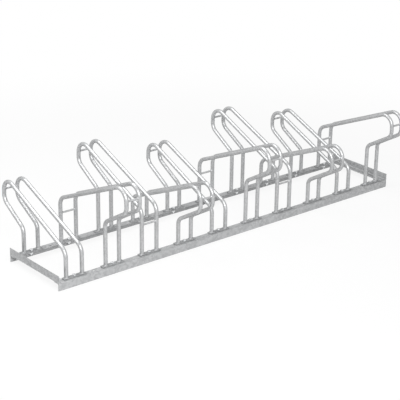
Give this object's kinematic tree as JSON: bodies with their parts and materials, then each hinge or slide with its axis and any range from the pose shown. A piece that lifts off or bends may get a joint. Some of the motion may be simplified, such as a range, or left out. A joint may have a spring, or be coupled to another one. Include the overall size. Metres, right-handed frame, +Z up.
{
  "type": "floor bike rack",
  "caption": "Double-sided floor rack for bicycles: bent-tube wheel stands, low and high by turns, bolted across a low frame of steel angle.",
  "frame": {"origin": "on the floor, under the middle of the frame", "axes": "+X along the rack, +Y from the front rail to the back rail, +Z up"},
  "size_m": [1.74, 0.5712, 0.3824],
  "materials": {
    "galvanised_steel": "hot-dip galvanised, satin with faint spangle",
    "fastener_zinc": "bright zinc plated"
  },
  "bodies": {
    "root": {"back_rail": "galvanised_steel", "corner_bolts": "fastener_zinc", "corner_nuts": "fastener_zinc", "foot_bolts": "fastener_zinc", "foot_nuts": "fastener_zinc", "foot_plates_01": "galvanised_steel", "foot_plates_02": "galvanised_steel", "foot_plates_03": "galvanised_steel", "foot_plates_04": "galvanised_steel", "foot_plates_05": "galvanised_steel", "foot_plates_06": "galvanised_steel", "foot_plates_07": "galvanised_steel", "foot_plates_08": "galvanised_steel", "foot_plates_09": "galvanised_steel", "foot_plates_10": "galvanised_steel", "front_rail": "galvanised_steel", "hoop_left_01": "galvanised_steel", "hoop_left_02": "galvanised_steel", "hoop_left_03": "galvanised_steel", "hoop_left_04": "galvanised_steel", "hoop_left_05": "galvanised_steel", "hoop_left_06": "galvanised_steel", "hoop_left_07": "galvanised_steel", "hoop_left_08": "galvanised_steel", "hoop_left_09": "galvanised_steel", "hoop_left_10": "galvanised_steel", "hoop_right_01": "galvanised_steel", "hoop_right_02": "galvanised_steel", "hoop_right_03": "galvanised_steel", "hoop_right_04": "galvanised_steel", "hoop_right_05": "galvanised_steel", "hoop_right_06": "galvanised_steel", "hoop_right_07": "galvanised_steel", "hoop_right_08": "galvanised_steel", "hoop_right_09": "galvanised_steel", "hoop_right_10": "galvanised_steel", "left_end_angle": "galvanised_steel", "post_link_02": "galvanised_steel", "post_link_03": "galvanised_steel", "post_link_06": "galvanised_steel", "post_link_07": "galvanised_steel", "post_link_10": "galvanised_steel", "right_end_angle": "galvanised_steel", "tip_link_01": "galvanised_steel", "tip_link_02": "galvanised_steel", "tip_link_03": "galvanised_steel", "tip_link_04": "galvanised_steel", "tip_link_05": "galvanised_steel", "tip_link_06": "galvanised_steel", "tip_link_07": "galvanised_steel", "tip_link_08": "galvanised_steel", "tip_link_09": "galvanised_steel", "tip_link_10": "galvanised_steel"}
  },
  "joints": []
}
